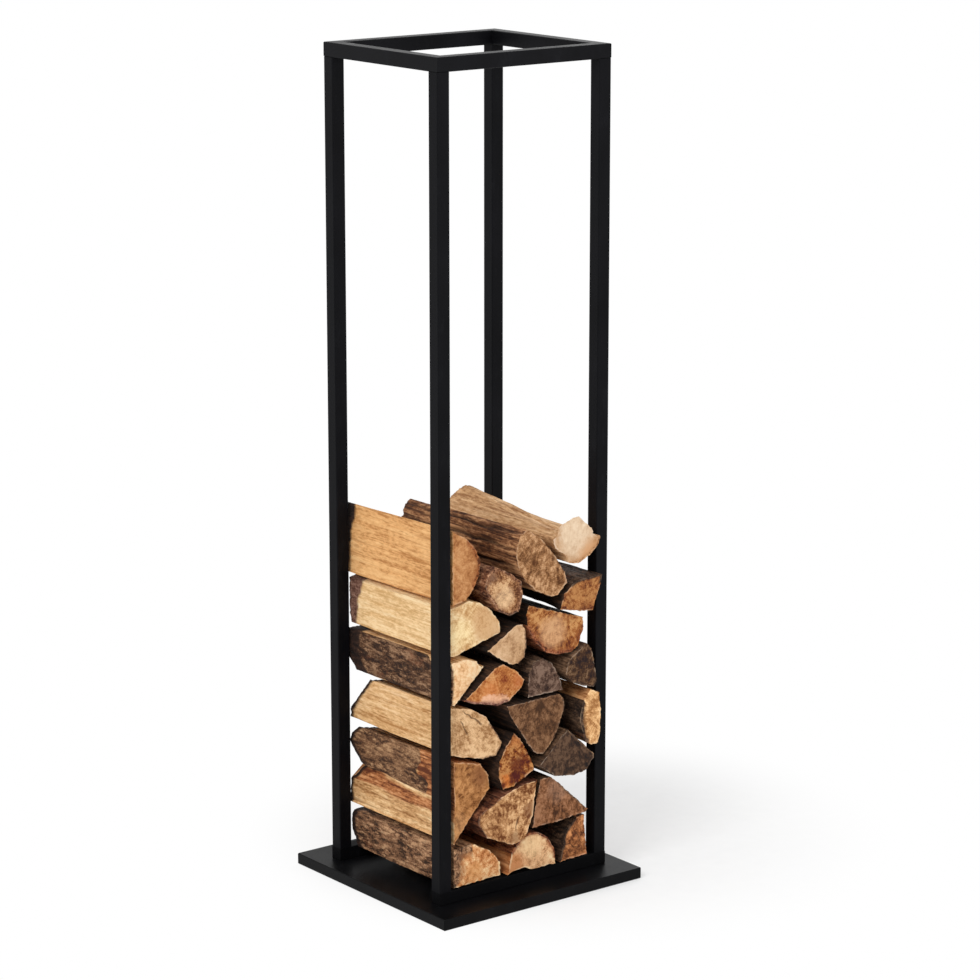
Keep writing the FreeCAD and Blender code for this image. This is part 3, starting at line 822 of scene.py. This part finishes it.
# ---- sixth row ----
# The palest split, fresh and creamy, on the left, a beige wedge beside it,
# and a pale-hearted half round in red bark, its top torn hollow behind the sawn end.
split_billet("log_row6_left", firewood(
    "wood_row6_left", (-130, 370), (tint(181, 134, 82), tint(218, 179, 129), tint(238, 212, 167)),
    (tint(206, 162, 106), tint(240, 202, 150), tint(252, 224, 178)), GREY_RIND,
    shift=18.8, ring=3.0, stain=0.15, mottle=0.85,
    # the painted shade towards this billet's rear is browner
    back=(tint(64, 38, 30), tint(108, 74, 60), tint(150, 114, 98)),
    cores=(((-60, 405), 20, 34, 0.7, tint(204, 160, 116)),
           ((-106, 396), 10, 30, 0.35, tint(248, 224, 166)))),
    wear=0.9, dusk=((366, 12), (400, 20), (436, 34)), rear_cut=((366, 4), (380, 0)))
split_billet("log_row6_mid", firewood(
    "wood_row6_mid", (-60, 370), (tint(157, 116, 79), tint(197, 156, 115), tint(217, 180, 141)),
    SHADE, GREY_RIND, shift=19.4, rim=1.6, mottle=0.65),
    bark=((293, 395),))
split_billet("log_row6_right", firewood(
    "wood_row6_right", (50, 410), (tint(87, 33, 14), tint(153, 91, 42), tint(197, 143, 88)),
    SHADE, RED_RIND, shift=20.6, rim=5.0,
    bared=ORANGE, cores=(((44, 376), 14, 30, 0.8, tint(208, 160, 116)),
                         ((92, 360), 6, 20, 0.5, tint(150, 84, 42)))),
    bark=((165, 312),), torn=1.6, warm=((-150, 150, 345, 384),),
    hollows=((50, 407, 46, ((0, 0), (0.08, 3), (0.25, 6), (1, 6))),))


# ---- seventh row ----
# The big half round on the left, a branch still in its bark, a long dark piece, streaked and
# cracked, whose rear end stands out past the others, and a small orange one under its rind.
split_billet("log_row7_left", firewood(
    "wood_row7_left", (-150, 490), (tint(141, 85, 43), tint(183, 125, 76), tint(208, 154, 103)),
    (tint(180, 122, 68), tint(226, 170, 110), tint(242, 192, 132)),
    (tint(84, 42, 20), tint(146, 84, 44), tint(190, 124, 74)),
    shift=21.7, ring=1.8, rim=5.0, stain=0.5, mottle=0.6),
    bark=((300, 440),), wear=0.5, dusk=((437, 4), (470, 9), (500, 18), (540, 24)))
split_billet("log_row7_mid_left", firewood(
    "wood_row7_mid_left", (-42, 449), (tint(84, 43, 19), tint(160, 111, 71), tint(210, 169, 125)),
    ORANGE, (tint(64, 34, 22), tint(126, 82, 56), tint(196, 150, 114)),
    shift=22.1, ring=2.8, rim=3.5, lichen=0.1,
    cores=(((-66, 470), 4, 16, 0.8, tint(104, 74, 60)), ((-42, 438), 8, 20, 0.6, tint(232, 194, 150)))),
    bark=((0, 360),), torn=0.8)
split_billet("log_row7_mid_right", firewood(
    "wood_row7_mid_right", (40, 540), (tint(88, 50, 21), tint(153, 107, 67), tint(210, 164, 121)),
    (tint(62, 36, 22), tint(126, 82, 52), tint(196, 146, 102)), DARK_RIND,
    shift=23.9, rim=2.2, streak=1.3, mottle=0.85,
    cores=(((48, 488), 6, 18, 0.6, tint(100, 74, 50)), ((-24, 520), 3, 10, 0.5, tint(196, 152, 110)))),
    torn=1.8, wear=1.2,
    hollows=((-20, 529, 6, ((0, 0), (0.12, 3), (0.3, 6), (0.7, 5), (1, 2))),
             (-30, 508, 6, ((0, 1), (0.3, 5), (1, 3))),
             (-24, 476, 7, ((0, 0), (0.2, 5), (1, 5)))))
split_billet("log_row7_right", firewood(
    "wood_row7_right", (90, 400), (tint(73, 24, 14), tint(143, 85, 42), tint(181, 126, 74)),
    SHADE, DARK_RIND, shift=24.3, rim=2.2),
    bark=((20, 140),), torn=1.4,
    hollows=((56, 406, 18, ((0, 0), (0.08, 4), (0.3, 6), (1, 5))),))


# ---- top billet ----
# A long, pale, smooth split laid on the pile, waisted behind its flared sawn end,
# with a strip of bark left along its underside.
split_billet("log_top", firewood(
    "wood_top", (70, 470), (tint(167, 115, 69), tint(197, 157, 118), tint(219, 191, 163)),
    (tint(150, 104, 66), tint(204, 158, 112), tint(232, 192, 148)),
    (tint(120, 78, 46), tint(178, 128, 84), tint(214, 168, 122)), shift=25.8, ring=2.0, rim=3.2, mottle=0.4,
    cores=(((80, 508), 20, 38, 0.6, tint(244, 222, 192)), ((108, 476), 12, 34, 0.75, tint(202, 144, 92)))),
    bark=((250, 362),), wear=0.5,
    hollows=((112, 500, 14, ((0, 7), (1, 5))), (38, 520, 16, ((0, 6), (0.1, 3), (1, 1))),
             (50, 482, 20, ((0, 5), (0.2, 3), (1, 1))),
             (75, 537, 70, ((0, 0), (0.03, 8), (0.08, 22), (0.16, 25), (0.35, 16), (0.6, 5), (1, -7)))))


# ---- floor, backdrop and light ----
# A plain white studio floor that keeps the soft shadow, under a white surround,
# with a broad soft lamp high on the left and weaker ones in front and at the right rear.
FLOOR_SIZE = 14.0
FLOOR_DROP = 0.0004     # the floor lies this far below the plate, so that the two never mix, m
SHADOW_KEEP = 0.62      # share of the floor's own shading that shows close to the plate
SHADOW_MIDDLE = (0.22, 0.05, 0.0)
SHADOW_NEAR, SHADOW_FAR = 0.18, 0.50    # it fades to white between these distances, m
SKY_FILL = 0.55         # light from all round, as a share of white
WHITE, FLOOR_DARK, FLOOR_LIGHT = tint(255, 255, 255), tint(243, 243, 243), tint(247, 247, 247)
PILE_HEART = (0, 0, 0.5)    # where the lamps point

half = FLOOR_SIZE / 2
corners = [(x * half, y * half, -FLOOR_DROP) for x, y in ((-1, -1), (1, -1), (1, 1), (-1, 1))]
sheet = bpy.data.meshes.new("studio_floor")
sheet.from_pydata(corners, [], [(0, 1, 2, 3)])
floor = bpy.data.objects.new("studio_floor", sheet)
bpy.context.scene.collection.objects.link(floor)


def seen_directly(finish):
    """1 on rays from the camera and on ones that a mirror or a pane sends on."""
    rays = {name: finish.node("ShaderNodeLightPath", output="Is " + name + " Ray")
            for name in ("Camera", "Glossy", "Transmission")}
    return rays["Camera"].larger(rays["Glossy"]).larger(rays["Transmission"])


def floor_paint():
    """Matt white that glows to pure white where no shadow is wanted."""
    paint = Finish("floor_paint")
    speckle = paint.cloud((40, 40, 40), 0.0, 4.0)
    away = paint.span("DISTANCE", paint.place, SHADOW_MIDDLE).rise(SHADOW_NEAR, SHADOW_FAR)
    shade = paint.tones(speckle, (0.3, FLOOR_DARK), (0.7, FLOOR_LIGHT))
    matt = paint.node("ShaderNodeBsdfDiffuse", {}, {"Color": shade})
    glow = paint.node("ShaderNodeEmission", {}, {"Color": WHITE, "Strength": 1.0})
    lift = seen_directly(paint) * (1 - SHADOW_KEEP + SHADOW_KEEP * away)
    mixed = paint.node("ShaderNodeMixShader", {}, {0: lift, 1: matt, 2: glow})
    paint.node("ShaderNodeOutputMaterial", {}, {0: mixed})
    return paint.material


sheet.materials.append(floor_paint())

world = bpy.data.worlds.new("studio")
bpy.context.scene.world = world
surround = Finish("studio", world)
brightness = SKY_FILL + (1 - SKY_FILL) * seen_directly(surround)
sky = surround.node("ShaderNodeBackground", {}, {"Color": WHITE, "Strength": brightness})
surround.node("ShaderNodeOutputWorld", {}, {0: sky})


def softbox(name, place, size, power):
    """A square diffused lamp turned towards the pile."""
    lamp = bpy.data.lights.new(name, "AREA")
    lamp.shape, lamp.size, lamp.energy = "SQUARE", size, power
    box = bpy.data.objects.new(name, lamp)
    box.location = place
    box.rotation_euler = (Vector(PILE_HEART) - Vector(place)).to_track_quat("-Z", "Y").to_euler()
    bpy.context.scene.collection.objects.link(box)


softbox("key_left", (-2.6, -1.2, 2.6), size=1.6, power=62.0)
softbox("fill_front", (0.6, -3.2, 1.8), size=2.0, power=34.0)
softbox("fill_right", (2.7, 1.3, 1.7), size=2.0, power=26.0)


# ---- camera ----
# A long lens a little above the middle of the rack, looking down at its left front corner,
# far enough off that the tall posts stay nearly upright.
AZIMUTH, PITCH = math.radians(-37.84), math.radians(13.28)
DISTANCE = 4.8
LENS_MM, SENSOR_MM = 126.709, 36.0
ASIDE, AIM_HEIGHT = 0.0309, 0.5589    # the point that the lens is turned to, m

aim = Vector((ASIDE * math.cos(AZIMUTH), ASIDE * math.sin(AZIMUTH), AIM_HEIGHT))
ahead = Vector((-math.sin(AZIMUTH) * math.cos(PITCH), math.cos(AZIMUTH) * math.cos(PITCH), -math.sin(PITCH)))
lens = bpy.data.cameras.new("picture_camera")
lens.sensor_width, lens.lens = SENSOR_MM, LENS_MM
camera = bpy.data.objects.new("picture_camera", lens)
camera.location = aim - ahead * DISTANCE
camera.rotation_euler = ahead.to_track_quat("-Z", "Y").to_euler()
bpy.context.scene.collection.objects.link(camera)
bpy.context.scene.camera = camera
bpy.context.scene.view_settings.view_transform = "Standard"
